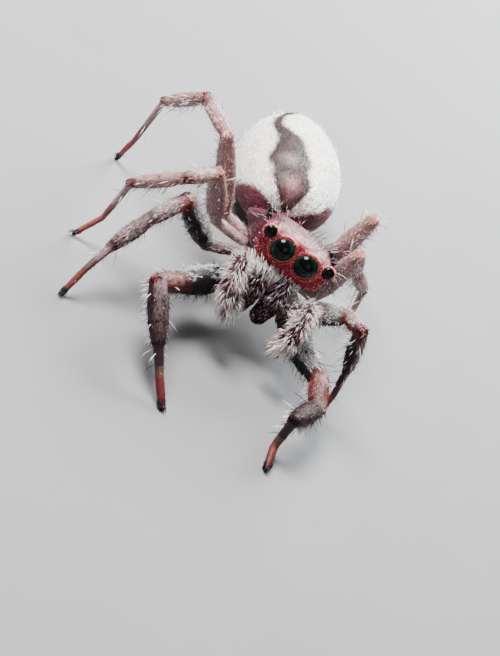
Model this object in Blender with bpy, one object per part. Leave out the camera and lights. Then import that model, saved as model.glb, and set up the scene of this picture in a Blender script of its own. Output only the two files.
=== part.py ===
"""A jumping spider at life size, standing on eight feet with its front pair reached forward.

Lengths below are millimetres and angles are degrees; MM turns them into metres.
The head and chest (the carapace) have a frame of their own, whose origin is at the middle of
the carapace: +X is the spider's left, -Y is ahead and +Z is up. That frame stands STANCE above
the floor, with the face lifted and the left side a little lower. Legs are posed over the floor.
"""

import math

import bmesh
import bpy
from mathutils import Matrix, Vector

MM = 0.001
GAP = 0.03            # left between neighbours, so that no two solids touch
CUT_TOLERANCE = 1e-6
SHARP_ANGLE = 50      # edges that bend more than this are shown sharp
SIDES = {"left": 1, "right": -1}

STANCE = 2.25         # middle of the carapace above the floor
FACE_LIFT = 12
LEAN_LEFT = 5

BODY_SIDES = 16       # corners of a section through carapace or abdomen
WIDEST_SHARE = 0.42   # height of a section's widest line, from its bottom to its top

# Carapace: half width, top and bottom at stations along Y, and how square its section is.
CARAPACE = (
    (-2.02, 1.06, 0.74, -0.24, 3.4),
    (-1.9, 1.14, 0.83, -0.3, 3.4),
    (-1.55, 1.2, 0.89, -0.38, 3.2),
    (-1.1, 1.22, 0.9, -0.44, 3.0),
    (-0.7, 1.24, 0.83, -0.45, 2.8),
    (0.0, 1.28, 0.54, -0.45, 2.5),
    (0.6, 1.26, 0.28, -0.45, 2.3),
    (1.1, 1.15, 0.05, -0.45, 2.2),
    (1.5, 0.88, -0.1, -0.45, 2.1),
    (1.8, 0.5, -0.22, -0.43, 2.0),
)
BELLY_RINGS = 6
STERNUM = (0.5, 1.0, 0.16)            # half width, half length, half thickness
STERNUM_AT = (0.0, 0.0, -0.92)
MOUTH = (0.34, 0.3, 0.2)
MOUTH_AT = (0.0, -1.34, -0.86)
PEDICEL_RADIUS = 0.2
PEDICEL_Y = (1.84, 2.06)
PEDICEL_Z = -0.3

# Abdomen, in its own frame at the pedicel with +Y to the rear: half width, top and bottom.
ABDOMEN_AT = (-0.02, 2.1, -0.2)
ABDOMEN_RISE = 8      # turned up from the carapace's axis
ABDOMEN_YAW = 3       # towards the spider's right
ABDOMEN_ROLL = -16    # about its own length, its back towards the spider's right
ABDOMEN = (
    (0.0, 0.42, 0.42, -0.32),
    (0.2, 0.92, 0.82, -0.66),
    (0.65, 1.28, 1.12, -0.94),
    (1.4, 1.55, 1.32, -1.1),
    (2.4, 1.66, 1.42, -1.16),
    (3.3, 1.58, 1.38, -1.12),
    (4.2, 1.3, 1.18, -1.0),
    (4.95, 0.92, 0.86, -0.78),
    (5.5, 0.52, 0.48, -0.54),
    (5.7, 0.28, 0.2, -0.36),
)
SPINNERETS = ((5.73, -0.1, 0.22), (6.15, -0.16, 0.12))  # distance back, height, radius

# Eyes: half spacing, distance ahead of the middle, height, and radius of the lens.
EYES = {
    "median": (0.376, -1.87, 0.35, 0.35),
    "side": (0.93, -1.93, 0.57, 0.185),
    "small": (1.06, -1.26, 0.66, 0.08),
    "rear": (0.95, -0.78, 0.62, 0.12),
}

EYE_RINGS = {"median": 8, "side": 6, "small": 6, "rear": 6}

JAW_SIDES = 12
# Jaws: points of the middle line, with the radius at each.
JAW = ((0.3, -1.8, -0.42, 0.27), (0.32, -1.94, -0.95, 0.3), (0.3, -1.88, -1.46, 0.24))
# Feelers: middle line and radius, from the mouth out to the elbow and down to the tip.
PALP_BASE = ((0.5, -1.45, -0.9, 0.17), (0.92, -2.05, -0.68, 0.25), (1.1, -2.42, -0.42, 0.27))
PALP_TIP = {
    "left": ((1.1, -2.42, -0.42), (1.14, -2.62, -0.85), (1.12, -2.68, -1.3), (1.0, -2.68, -1.62)),
    "right": ((1.1, -2.42, -0.42), (1.0, -2.62, -0.87), (0.73, -2.68, -1.36), (0.58, -2.68, -1.64)),
}
PALP_TIP_RADII = (0.3, 0.42, 0.42, 0.26)

# Legs, front to rear.
COXA_START = ((0.68, -0.88, -0.86), (0.74, -0.33, -0.86), (0.74, 0.24, -0.82), (0.66, 0.8, -0.8))
COXA_END = {
    "left": ((0.93, -1.51, -1.29), (1.3, -0.72, -1.18), (1.6, 0.1, -0.9), (1.5, 1.2, -0.8)),
    "right": ((0.93, -1.51, -1.29), (1.69, -0.63, -1.21), (1.72, 0.36, -0.84), (1.5, 1.2, -0.8)),
}
COXA_RADIUS = (0.24, 0.28)
LIMB_SIDES = 10
OVERRUN = 0.6         # how far a length runs past its joint before the cut, in radii
LENGTHS = (           # femur, patella, tibia, metatarsus, tarsus
    (1.92, 1.12, 1.55, 0.88, 0.68),
    (2.05, 1.11, 1.22, 0.95, 0.77),
    (2.3, 1.05, 1.45, 1.3, 0.85),
    (2.6, 1.15, 1.8, 1.6, 0.9),
)
FEMUR_RADIUS = (0.45, 0.32, 0.29, 0.29)
TIBIA_RADIUS = (0.34, 0.27, 0.26, 0.26)
FOOT_RADIUS = 0.25
# Thickness at even steps along each length, as shares of its radius.
FEMUR_SWELL = (0.78, 1.0, 1.0, 0.86)
PATELLA_SWELL = (0.9, 1.08, 0.96)
TIBIA_SWELL = (0.96, 1.0, 0.96)
SOLE_HEIGHT = 0.1     # the foot's middle line over the floor at its tip
PAD_LENGTH = 0.12     # how far the claw pad runs on past the tip, before the floor cuts it flat

# Pose of each leg: for femur, patella, tibia and metatarsus, the turn outward from straight
# ahead and the rise above level. The tarsus keeps the last turn and drops to the floor.
POSE = {
    "left": (
        ((50, -7), (6, -1), (-26, 8), (1, -84)),
        ((36, 44), (12, 22), (95, -73), (100, -79)),
        ((10, 74), (150, -47), (139, -38), (151, -60)),
        ((66, 83), (163, -32), (166, -37), (164, -57)),
    ),
    "right": (
        ((40, 0), (31, 17), (-28, -25), (-44, -40)),
        ((56, 42), (41, -36), (33, -42), (23, -34)),
        ((40, 53), (45, -10), (96, -45), (66, -86)),
        ((74, 60), (126, 13), (144, -46), (156, -86)),
    ),
}

# Colours of the parts: base colour and roughness.
FINISHES = {
    "carapace": ((0.32, 0.04, 0.04), 0.6),
    "belly": ((0.2, 0.1, 0.09), 0.6),
    "abdomen": ((0.66, 0.6, 0.5), 0.7),
    "lens": ((0.01, 0.02, 0.015), 0.05),
    "jaw": ((0.12, 0.02, 0.025), 0.3),
    "palp": ((0.5, 0.45, 0.42), 0.7),
    "thigh": ((0.12, 0.06, 0.05), 0.6),
    "shin": ((0.42, 0.3, 0.27), 0.7),
    "foot": ((0.5, 0.09, 0.06), 0.6),
}


def clear_scene():
    for obj in list(bpy.data.objects):
        bpy.data.objects.remove(obj)


def new_collection(name):
    collection = bpy.data.collections.new(name)
    bpy.context.scene.collection.children.link(collection)
    return collection


def material(name):
    """The named finish, made once."""
    if name in bpy.data.materials:
        return bpy.data.materials[name]
    colour, roughness = FINISHES[name]
    made = bpy.data.materials.new(name)
    made.use_nodes = True
    shader = made.node_tree.nodes["Principled BSDF"]
    shader.inputs["Base Color"].default_value = (*colour, 1)
    shader.inputs["Roughness"].default_value = roughness
    shader.inputs["Metallic"].default_value = 0
    return made


def carapace_frame():
    """The carapace's frame over the floor, in millimetres."""
    lift = Matrix.Rotation(math.radians(-FACE_LIFT), 4, "X")
    lean = Matrix.Rotation(math.radians(LEAN_LEFT), 4, "Y")
    return Matrix.Translation((0, 0, STANCE)) @ lift @ lean


def abdomen_frame():
    """The abdomen's frame over the floor, in millimetres."""
    rise = Matrix.Rotation(math.radians(ABDOMEN_RISE), 4, "X")
    yaw = Matrix.Rotation(math.radians(ABDOMEN_YAW), 4, "Z")
    roll = Matrix.Rotation(math.radians(ABDOMEN_ROLL), 4, "Y")
    return carapace_frame() @ Matrix.Translation(ABDOMEN_AT) @ yaw @ rise @ roll


def add_piece(name, shape, finish, frame=None):
    """An object from a bmesh in millimetres, smooth but for its sharp edges."""
    mesh = bpy.data.meshes.new(name)
    bmesh.ops.recalc_face_normals(shape, faces=shape.faces)
    bmesh.ops.scale(shape, vec=(MM, MM, MM), verts=shape.verts)
    shape.to_mesh(mesh)
    shape.free()
    mesh.shade_smooth()
    mesh.set_sharp_from_angle(angle=math.radians(SHARP_ANGLE))
    obj = bpy.data.objects.new(name, mesh)
    obj.data.materials.append(material(finish))
    PARTS.objects.link(obj)
    obj.parent = ROOT
    if frame is not None:
        placed = frame.copy()
        placed.translation = frame.translation * MM
        obj.matrix_local = placed
    return obj


def loft(rings):
    """A closed bmesh through rings of points, flat at both ends."""
    shape = bmesh.new()
    made = [[shape.verts.new(point) for point in ring] for ring in rings]
    for low, high in zip(made, made[1:]):
        for i, vert in enumerate(low):
            after = (i + 1) % len(low)
            shape.faces.new((vert, low[after], high[after], high[i]))
    shape.faces.new(made[0][::-1])
    shape.faces.new(made[-1])
    return shape


def section(y, half_width, top, bottom, square=2.0):
    """A ring across Y: a superellipse, whose upper and lower halves have their own heights."""
    middle = bottom + (top - bottom) * WIDEST_SHARE
    ring = []
    for i in range(BODY_SIDES):
        turn = 2 * math.pi * i / BODY_SIDES
        across = abs(math.cos(turn)) ** (2 / square) * math.copysign(1, math.cos(turn))
        up = abs(math.sin(turn)) ** (2 / square) * math.copysign(1, math.sin(turn))
        height = (top - middle) if up > 0 else (middle - bottom)
        ring.append(Vector((half_width * across, y, middle + height * up)))
    return ring


def tube(points, radii, sides=LIMB_SIDES):
    """A bmesh tube through points, its rings square to the way it bends."""
    rings = []
    side = None
    for i, point in enumerate(points):
        before = points[max(i - 1, 0)]
        after = points[min(i + 1, len(points) - 1)]
        along = (after - before).normalized()
        if side is None:
            side = along.orthogonal().normalized()
        side = (side - along * side.dot(along)).normalized()
        other = along.cross(side)
        ring = []
        for k in range(sides):
            turn = 2 * math.pi * k / sides
            ring.append(point + radii[i] * (side * math.cos(turn) + other * math.sin(turn)))
        rings.append(ring)
    return loft(rings)


def keep_side(shape, point, away):
    """Cuts a bmesh with the plane through point, and closes it; what lies along away goes."""
    geometry = shape.verts[:] + shape.edges[:] + shape.faces[:]
    cut = bmesh.ops.bisect_plane(
        shape, geom=geometry, plane_co=point, plane_no=away, clear_outer=True,
        dist=CUT_TOLERANCE,
    )
    rim = [edge for edge in cut["geom_cut"] if isinstance(edge, bmesh.types.BMEdge)]
    bmesh.ops.edgeloop_fill(shape, edges=rim)


def joint_plane(joint, into, out_of):
    """Point and direction of the cut where one length ends, square to the bend's middle."""
    away = (into + out_of).normalized()
    return joint - away * GAP / 2, away


def swollen(start, end, radius, shares):
    """Points from start to end, evenly apart, and radius times each share."""
    last = len(shares) - 1
    points = [start.lerp(end, i / last) for i in range(last + 1)]
    return points, [radius * share for share in shares]


def reach(outward, rise, side):
    """The unit direction of a leg's length over the floor."""
    turn, up = math.radians(outward), math.radians(rise)
    level = math.cos(up)
    return Vector((side * math.sin(turn) * level, -math.cos(turn) * level, math.sin(up)))


def leg_joints(side_name, number):
    """Joints of a leg over the floor: coxa start, trochanter, knee, patella end, ankle,
    tarsus start and tip."""
    side = SIDES[side_name]
    frame = carapace_frame()
    joints = []
    for x, y, z in (COXA_START[number], COXA_END[side_name][number]):
        joints.append(frame @ Vector((side * x, y, z)))
    lengths = LENGTHS[number]
    for (outward, rise), length in zip(POSE[side_name][number], lengths):
        joints.append(joints[-1] + length * reach(outward, rise, side))
    drop = (joints[-1].z - SOLE_HEIGHT) / lengths[-1]
    rise = -math.degrees(math.asin(max(-1, min(1, drop))))
    outward = POSE[side_name][number][-1][0]
    joints.append(joints[-1] + lengths[-1] * reach(outward, rise, side))
    return joints


def limb(name, points, radii, finish, before=None, after=None):
    """One length of a leg or feeler, in world millimetres, cut off where its neighbours meet it.

    before and after are the far ends of the neighbours' middle lines."""
    first = (points[1] - points[0]).normalized()
    last = (points[-1] - points[-2]).normalized()
    points, radii = list(points), list(radii)
    cuts = []
    if before is not None:
        into = (points[0] - before).normalized()
        point, away = joint_plane(points[0], -first, -into)
        cuts.append((point, away))
        points.insert(0, points[0] - first * radii[0] * OVERRUN)
        radii.insert(0, radii[0])
    if after is not None:
        out_of = (after - points[-1]).normalized()
        cuts.append(joint_plane(points[-1], last, out_of))
        points.append(points[-1] + last * radii[-1] * OVERRUN)
        radii.append(radii[-1])
    shape = tube(points, radii)
    for point, away in cuts:
        keep_side(shape, point, away)
    if finish == "foot":
        keep_side(shape, Vector((0, 0, 0)), Vector((0, 0, -1)))
    origin = points[0]
    bmesh.ops.translate(shape, vec=-origin, verts=shape.verts)
    return add_piece(name, shape, finish, Matrix.Translation(origin))


def build_leg(side_name, number):
    """Coxa, femur, patella with tibia, and metatarsus with tarsus."""
    name = f"leg{number + 1}_{side_name}"
    hip, trochanter, knee, shin, ankle, toe, tip = leg_joints(side_name, number)
    thick, thin = FEMUR_RADIUS[number], TIBIA_RADIUS[number]
    start, end = COXA_RADIUS
    limb(f"{name}_coxa", [hip, trochanter], [start, end], "belly", after=knee)
    points, radii = swollen(trochanter, knee, thick, FEMUR_SWELL)
    limb(f"{name}_femur", points, radii, "thigh", before=hip, after=shin)
    upper, upper_radii = swollen(knee, shin, thin, PATELLA_SWELL)
    lower, lower_radii = swollen(shin, ankle, thin, TIBIA_SWELL)
    points, radii = upper + lower[1:], upper_radii + lower_radii[1:]
    limb(f"{name}_tibia", points, radii, "shin", before=trochanter, after=toe)
    pad = tip + (tip - toe).normalized() * PAD_LENGTH
    points = [ankle, toe, pad]
    radii = [FOOT_RADIUS] * len(points)
    limb(f"{name}_foot", points, radii, "foot", before=shin)


def build_palp(side_name):
    """A feeler: its base runs out from the mouth, and its tip hangs in front of the jaws."""
    side = SIDES[side_name]
    frame = carapace_frame()
    base = [frame @ Vector((side * x, y, z)) for x, y, z, _ in PALP_BASE]
    hanging = [frame @ Vector((side * x, y, z)) for x, y, z in PALP_TIP[side_name]]
    base_radii = [radius for *_, radius in PALP_BASE]
    limb(f"palp_{side_name}_base", base, base_radii, "palp", after=hanging[1])
    limb(f"palp_{side_name}_tip", hanging, PALP_TIP_RADII, "palp", before=base[1])


def build_jaw(side_name):
    side = SIDES[side_name]
    points = [Vector((side * x, y, z)) for x, y, z, _ in JAW]
    shape = tube(points, [radius for *_, radius in JAW], JAW_SIDES)
    keep_side(shape, Vector((side * GAP / 2, 0, 0)), Vector((-side, 0, 0)))
    add_piece(f"jaw_{side_name}", shape, "jaw", carapace_frame())


def ball(radius, rings):
    shape = bmesh.new()
    bmesh.ops.create_uvsphere(shape, u_segments=2 * rings, v_segments=rings, radius=radius)
    bmesh.ops.rotate(shape, matrix=Matrix.Rotation(math.radians(90), 3, "X"), verts=shape.verts)
    return shape


def build_eye(kind, side_name, carapace):
    """A lens in a socket cut from the carapace."""
    x, y, z, radius = EYES[kind]
    rings = EYE_RINGS[kind]
    frame = carapace_frame() @ Matrix.Translation((SIDES[side_name] * x, y, z))
    add_piece(f"eye_{kind}_{side_name}", ball(radius, rings), "lens", frame)
    cutter = add_piece(f"socket_{kind}_{side_name}", ball(radius + GAP, rings), "lens", frame)
    PARTS.objects.unlink(cutter)
    CUTTERS.objects.link(cutter)
    cutter.hide_render = True
    cutter.display_type = "WIRE"
    socket = carapace.modifiers.new(f"socket_{kind}_{side_name}", "BOOLEAN")
    socket.object = cutter
    socket.operation = "DIFFERENCE"


def build_head_and_chest():
    rings = [section(*station) for station in CARAPACE]
    carapace = add_piece("carapace", loft(rings), "carapace", carapace_frame())
    for kind in EYES:
        for side_name in SIDES:
            build_eye(kind, side_name, carapace)
    for name, size, place in (("sternum", STERNUM, STERNUM_AT), ("mouth", MOUTH, MOUTH_AT)):
        shape = ball(1.0, BELLY_RINGS)
        bmesh.ops.scale(shape, vec=size, verts=shape.verts)
        frame = carapace_frame() @ Matrix.Translation(place)
        add_piece(name, shape, "belly", frame)


def build_abdomen():
    start, end = PEDICEL_Y
    ends = [Vector((0, start, PEDICEL_Z)), Vector((0, end, PEDICEL_Z))]
    add_piece("pedicel", tube(ends, [PEDICEL_RADIUS] * 2), "belly", carapace_frame())
    rings = [section(*station) for station in ABDOMEN]
    add_piece("abdomen", loft(rings), "abdomen", abdomen_frame())
    points = [Vector((0, y, z)) for y, z, _ in SPINNERETS]
    shape = tube(points, [radius for *_, radius in SPINNERETS])
    add_piece("spinnerets", shape, "belly", abdomen_frame())


def centre_over_origin():
    """Moves the root so that the middle of the whole box stands over the origin."""
    bpy.context.view_layer.update()
    places = [obj.matrix_world @ vert.co for obj in PARTS.objects if obj.type == "MESH"
              for vert in obj.data.vertices]
    for axis in (0, 1):
        values = [place[axis] for place in places]
        ROOT.location[axis] = -(min(values) + max(values)) / 2


clear_scene()
PARTS = new_collection("jumping_spider")
CUTTERS = new_collection("cutters")
ROOT = bpy.data.objects.new("spider_root", None)
PARTS.objects.link(ROOT)
build_head_and_chest()
build_abdomen()
for side_label in SIDES:
    build_jaw(side_label)
    build_palp(side_label)
    for leg_number in range(len(LENGTHS)):
        build_leg(side_label, leg_number)
centre_over_origin()
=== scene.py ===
"""Looks of a life-size jumping spider: one skin, its eyes and claws, and a coat of modelled hair.

Lengths are millimetres and angles degrees, in the same layout as the solids: +X is the spider's
left, -Y ahead and +Z up. Finished meshes are scaled by MM and moved by SHIFT into the frame.
"""

import math

import bpy
import numpy as np
from mathutils import Matrix, Vector
from mathutils.bvhtree import BVHTree


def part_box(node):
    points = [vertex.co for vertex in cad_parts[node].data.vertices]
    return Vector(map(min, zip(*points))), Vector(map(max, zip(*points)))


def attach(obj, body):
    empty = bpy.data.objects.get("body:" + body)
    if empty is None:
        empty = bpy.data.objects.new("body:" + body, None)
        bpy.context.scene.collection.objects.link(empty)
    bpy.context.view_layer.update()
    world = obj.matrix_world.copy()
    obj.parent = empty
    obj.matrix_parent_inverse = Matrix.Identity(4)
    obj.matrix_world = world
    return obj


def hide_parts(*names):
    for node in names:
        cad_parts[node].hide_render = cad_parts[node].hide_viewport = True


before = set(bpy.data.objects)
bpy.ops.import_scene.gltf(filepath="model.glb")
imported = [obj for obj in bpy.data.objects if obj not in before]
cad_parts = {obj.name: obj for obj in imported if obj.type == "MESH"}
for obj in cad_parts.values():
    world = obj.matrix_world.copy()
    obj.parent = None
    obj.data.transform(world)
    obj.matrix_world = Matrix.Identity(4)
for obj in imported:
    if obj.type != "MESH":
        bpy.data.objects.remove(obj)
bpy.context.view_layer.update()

MM = 0.001
SIDES = {"left": 1, "right": -1}

# ------------------------ the body, as in the solids

STANCE = 2.25
FACE_LIFT = 12
LEAN_LEFT = 5
CARAPACE = (          # y, half width, top, bottom, squareness
    (-2.02, 1.06, 0.74, -0.24, 3.4),
    (-1.9, 1.14, 0.83, -0.3, 3.4),
    (-1.55, 1.2, 0.89, -0.38, 3.2),
    (-1.1, 1.22, 0.9, -0.44, 3.0),
    (-0.7, 1.24, 0.83, -0.45, 2.8),
    (0.0, 1.28, 0.54, -0.45, 2.5),
    (0.6, 1.26, 0.28, -0.45, 2.3),
    (1.1, 1.15, 0.05, -0.45, 2.2),
    (1.5, 0.88, -0.1, -0.45, 2.1),
    (1.8, 0.5, -0.22, -0.43, 2.0),
)
ABDOMEN_AT = (-0.02, 2.1, -0.2)
ABDOMEN_RISE = 8
ABDOMEN_YAW = 3
ABDOMEN_ROLL = -16
ABDOMEN_LENGTH = 5.7
ABDOMEN = (           # y, half width, top, bottom
    (0.0, 0.42, 0.42, -0.32),
    (0.2, 0.92, 0.82, -0.66),
    (0.65, 1.28, 1.12, -0.94),
    (1.4, 1.55, 1.32, -1.1),
    (2.4, 1.66, 1.42, -1.16),
    (3.3, 1.58, 1.38, -1.12),
    (4.2, 1.3, 1.18, -1.0),
    (4.95, 0.92, 0.86, -0.78),
    (5.5, 0.52, 0.48, -0.54),
    (5.7, 0.28, 0.2, -0.36),
)
EYES = {              # half spacing, y, height, lens radius
    "median": (0.376, -1.87, 0.35, 0.35),
    "side": (0.93, -1.93, 0.57, 0.185),
    "small": (1.06, -1.26, 0.66, 0.08),
    "rear": (0.95, -0.78, 0.62, 0.12),
}
JAW = ((0.3, -1.8, -0.42), (0.32, -1.94, -0.95), (0.3, -1.88, -1.46))
PALP_BASE = ((0.5, -1.45, -0.9), (0.92, -2.05, -0.68), (1.1, -2.42, -0.42))
PALP_TIP = {
    "left": ((1.1, -2.42, -0.42), (1.14, -2.62, -0.85), (1.12, -2.68, -1.3), (1.0, -2.68, -1.62)),
    "right": ((1.1, -2.42, -0.42), (1.0, -2.62, -0.87), (0.73, -2.68, -1.36), (0.58, -2.68, -1.64)),
}
COXA_START = ((0.68, -0.88, -0.86), (0.74, -0.33, -0.86), (0.74, 0.24, -0.82), (0.66, 0.8, -0.8))
COXA_END = {
    "left": ((0.93, -1.51, -1.29), (1.3, -0.72, -1.18), (1.6, 0.1, -0.9), (1.5, 1.2, -0.8)),
    "right": ((0.93, -1.51, -1.29), (1.69, -0.63, -1.21), (1.72, 0.36, -0.84), (1.5, 1.2, -0.8)),
}
LENGTHS = (           # femur, patella, tibia, metatarsus, tarsus
    (1.92, 1.12, 1.55, 0.88, 0.68),
    (2.05, 1.11, 1.22, 0.95, 0.77),
    (2.3, 1.05, 1.45, 1.3, 0.85),
    (2.6, 1.15, 1.8, 1.6, 0.9),
)
SOLE_HEIGHT = 0.1
POSE = {
    "left": (
        ((50, -7), (6, -1), (-26, 8), (1, -84)),
        ((36, 44), (12, 22), (95, -73), (100, -79)),
        ((10, 74), (150, -47), (139, -38), (151, -60)),
        ((66, 83), (163, -32), (166, -37), (164, -57)),
    ),
    "right": (
        ((40, 0), (31, 17), (-28, -25), (-44, -40)),
        ((56, 42), (41, -36), (33, -42), (23, -34)),
        ((40, 53), (45, -10), (96, -45), (66, -86)),
        ((74, 60), (126, 13), (144, -46), (156, -86)),
    ),
}

# ------------------------ thickness of the skin

COAT = 0.07           # how far the skin of head and abdomen lies inside the solids
# Radii along coxa, femur, patella, tibia, metatarsus and tarsus of a front leg.
LEG_RADII = (
    (0.17, 0.21, 0.19),
    (0.2, 0.36, 0.39, 0.35, 0.25),
    (0.22, 0.27, 0.27, 0.22),
    (0.22, 0.27, 0.26, 0.18),
    (0.14, 0.13, 0.12, 0.11),
    (0.11, 0.115, 0.11, 0.08),
)
LEG_BUILD = (1.0, 0.8, 0.73, 0.73)   # how stout each pair is beside the first
JAW_RADII = (0.24, 0.27, 0.28, 0.24)
PALP_BASE_RADII = (0.13, 0.15, 0.14)
PALP_TIP_RADII = (0.15, 0.19, 0.23, 0.22, 0.12)
BELLY = ((0, -1.5, -0.82), (0, -0.6, -0.8), (0, 0.9, -0.78))
BELLY_RADII = (0.2, 0.34, 0.36, 0.22)
WAIST = ((0, 0.9, -0.6), (0, 2.3, -0.26))
WAIST_RADII = (0.3, 0.2, 0.2)
SPINNERETS = ((0, 5.45, -0.1), (0, 6.07, -0.16))
SPINNERET_RADII = (0.2, 0.16, 0.1)
EYE_RIM = (0.97, 0.16, 0.28)         # a rim's radius, thickness and setback, in lens radii
VOXEL = 0.048
RING_STEP = 0.06      # between the rings of a tube

# ------------------------ colours


def linear(code):
    """Linear colour of a hex code."""
    values = np.array([int(code[i:i + 2], 16) for i in (0, 2, 4)]) / 255
    return np.where(values <= 0.04045, values / 12.92, ((values + 0.055) / 1.055) ** 2.4)


BLACK = linear("0d080c")
BARK = linear("26171c")
BROWN = linear("5a3a38")
WINE = linear("480820")
CRIMSON = linear("90052a")
RED = linear("b21228")
ORANGE = linear("d84c3c")
SALMON = linear("cc6670")
PEACH = linear("e8a696")
CREAM = linear("f2e8d8")
WHITE = linear("fbfafa")
SILVER = linear("d2c4c8")
GREY = linear("8a848a")
SLATE = linear("625b60")
BEIGE = linear("cbb3ae")

# ------------------------ frames and joints


def turned(axis, degrees):
    """A turn about a named axis."""
    return Matrix.Rotation(math.radians(degrees), 4, axis)


def moved(matrix, points):
    """Points, as rows, through a 4 x 4 matrix."""
    matrix = np.asarray(matrix)
    return np.asarray(points) @ matrix[:3, :3].T + matrix[:3, 3]


CARAPACE_FRAME = Matrix.Translation((0, 0, STANCE)) @ (
    turned("X", -FACE_LIFT) @ turned("Y", LEAN_LEFT))
ABDOMEN_FRAME = CARAPACE_FRAME @ Matrix.Translation(ABDOMEN_AT) @ (
    turned("Z", ABDOMEN_YAW) @ turned("X", ABDOMEN_RISE) @ turned("Y", ABDOMEN_ROLL))
HEAD, REAR = np.array(CARAPACE_FRAME), np.array(ABDOMEN_FRAME)
HEAD_BACK = np.linalg.inv(HEAD)
REAR_BACK = np.linalg.inv(REAR)


def reach(outward, rise, side):
    """A direction turned outward from dead ahead, and raised."""
    turn, up = math.radians(outward), math.radians(rise)
    level = math.cos(up)
    return np.array((side * math.sin(turn) * level, -math.cos(turn) * level, math.sin(up)))


def leg_joints(side_name, number):
    """The seven ends of a leg's six segments, from its hip to the tip of its foot."""
    side = SIDES[side_name]
    coxa = np.array((COXA_START[number], COXA_END[side_name][number]))
    joints = list(moved(HEAD, coxa * (side, 1, 1)))
    lengths = LENGTHS[number]
    for (outward, rise), length in zip(POSE[side_name][number], lengths):
        joints.append(joints[-1] + length * reach(outward, rise, side))
    drop = (joints[-1][2] - SOLE_HEIGHT) / lengths[-1]
    rise = -math.degrees(math.asin(max(-1, min(1, drop))))
    outward = POSE[side_name][number][-1][0]
    joints.append(joints[-1] + lengths[-1] * reach(outward, rise, side))
    return joints


def frame_shift():
    """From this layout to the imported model's frame, in millimetres, read at an eye."""
    low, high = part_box("eye_median_left")
    x, y, z, _ = EYES["median"]
    middle = (np.array(low) + np.array(high)) / 2 / MM
    return middle - moved(HEAD, (x, y, z))


SHIFT = frame_shift()

# ------------------------ shapes for the skin


def spline(rows, count):
    """Rows of numbers through a smooth curve, count steps for each stretch."""
    rows = np.asarray(rows, float)
    padded = np.vstack([2 * rows[0] - rows[1], rows, 2 * rows[-1] - rows[-2]])
    steps = np.linspace(0, 1, count, endpoint=False)[:, None]
    out = []
    for a, b, c, d in zip(padded, padded[1:], padded[2:], padded[3:]):
        out.append(b + 0.5 * steps * (c - a + steps * (
            2 * a - 5 * b + 4 * c - d + steps * (3 * (b - c) + d - a))))
    return np.vstack(out + [rows[-1:]])


def section(y, half_width, top, bottom, square, count=56):
    """A ring across Y, as in the solids."""
    turn = np.linspace(0, 2 * math.pi, count, endpoint=False)
    across, up = np.cos(turn), np.sin(turn)
    across = np.abs(across) ** (2 / square) * np.sign(across)
    up = np.abs(up) ** (2 / square) * np.sign(up)
    middle = bottom + (top - bottom) * 0.42
    height = np.where(up > 0, top - middle, middle - bottom)
    return np.column_stack([half_width * across, np.full(count, y), middle + height * up])


def lofted(stations, inset):
    """Rings through stations, drawn in by inset, and rounded off at both ends."""
    rows = spline(stations, 6)
    if rows.shape[1] == 4:
        rows = np.column_stack([rows, np.full(len(rows), 2.0)])
    rows = rows + np.array([0, -inset, -inset, inset, 0])
    first, last = rows[0].copy(), rows[-1].copy()
    rows[:, 0] = np.interp(rows[:, 0], (first[0], last[0]), (first[0] + inset, last[0] - inset))
    return [section(*row) for row in rows]


def tube_rings(points, radii, sides=20):
    """Rings of a round-ended tube through points, with radii spread evenly along it."""
    points = np.asarray(points, float)
    lengths = np.linalg.norm(np.diff(points, axis=0), axis=1)
    along = np.concatenate([[0], np.cumsum(lengths)])
    total = along[-1]
    steps = np.linspace(0, 1, max(12, int(total / RING_STEP)))
    radii = np.interp(steps, np.linspace(0, 1, len(radii)), radii)
    cap = np.linspace(0.08, 1, 5)
    start = (-radii[0] * np.cos(cap * math.pi / 2), radii[0] * np.sin(cap * math.pi / 2))
    end = (total + radii[-1] * np.cos(cap * math.pi / 2)[::-1],
           radii[-1] * np.sin(cap * math.pi / 2)[::-1])
    places = np.concatenate([start[0][:-1], steps * total, end[0][1:]])
    sizes = np.concatenate([start[1][:-1], radii, end[1][1:]])
    rings = []
    side = None
    for place, size in zip(places, sizes):
        k = int(np.clip(np.searchsorted(along, place) - 1, 0, len(lengths) - 1))
        unit = (points[k + 1] - points[k]) / lengths[k]
        centre = points[k] + unit * (place - along[k])
        if side is None:
            side = np.cross(unit, (0.31, 0.47, 0.83))
        side = side - unit * side.dot(unit)
        side /= np.linalg.norm(side)
        other = np.cross(unit, side)
        turn = np.linspace(0, 2 * math.pi, sides, endpoint=False)[:, None]
        rings.append(centre + size * (side * np.cos(turn) + other * np.sin(turn)))
    return rings


class Body:
    """Rings of every part, gathered as one mesh that remembers which part each face is of."""

    def __init__(self):
        self.points, self.faces, self.parts = [], [], []

    def add(self, part, rings, matrix=None):
        if matrix is not None:
            rings = [moved(matrix, ring) for ring in rings]
        base, sides = len(self.points), len(rings[0])
        for ring in rings:
            self.points.extend(ring.tolist())
        made = []
        for i in range(len(rings) - 1):
            low = base + i * sides
            for k in range(sides):
                after = (k + 1) % sides
                made.append((low + k, low + after, low + sides + after, low + sides + k))
        made.append(tuple(range(base, base + sides))[::-1])
        made.append(tuple(base + (len(rings) - 1) * sides + k for k in range(sides)))
        self.faces.extend(made)
        self.parts.extend([part] * len(made))


def ring_bump(radius, thick, sides=40, round_sides=10):
    """Rings of a torus about Y."""
    turn = np.linspace(0, 2 * math.pi, sides + 1)
    small = np.linspace(0, 2 * math.pi, round_sides, endpoint=False)
    rings = []
    for a in turn:
        out = np.array((math.cos(a), 0, math.sin(a)))
        rings.append(out * (radius + thick * np.cos(small)[:, None])
                     + np.array((0, thick, 0)) * np.sin(small)[:, None])
    return rings


LEG_PARTS = {}        # the joints of each leg, by the part's name


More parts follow.
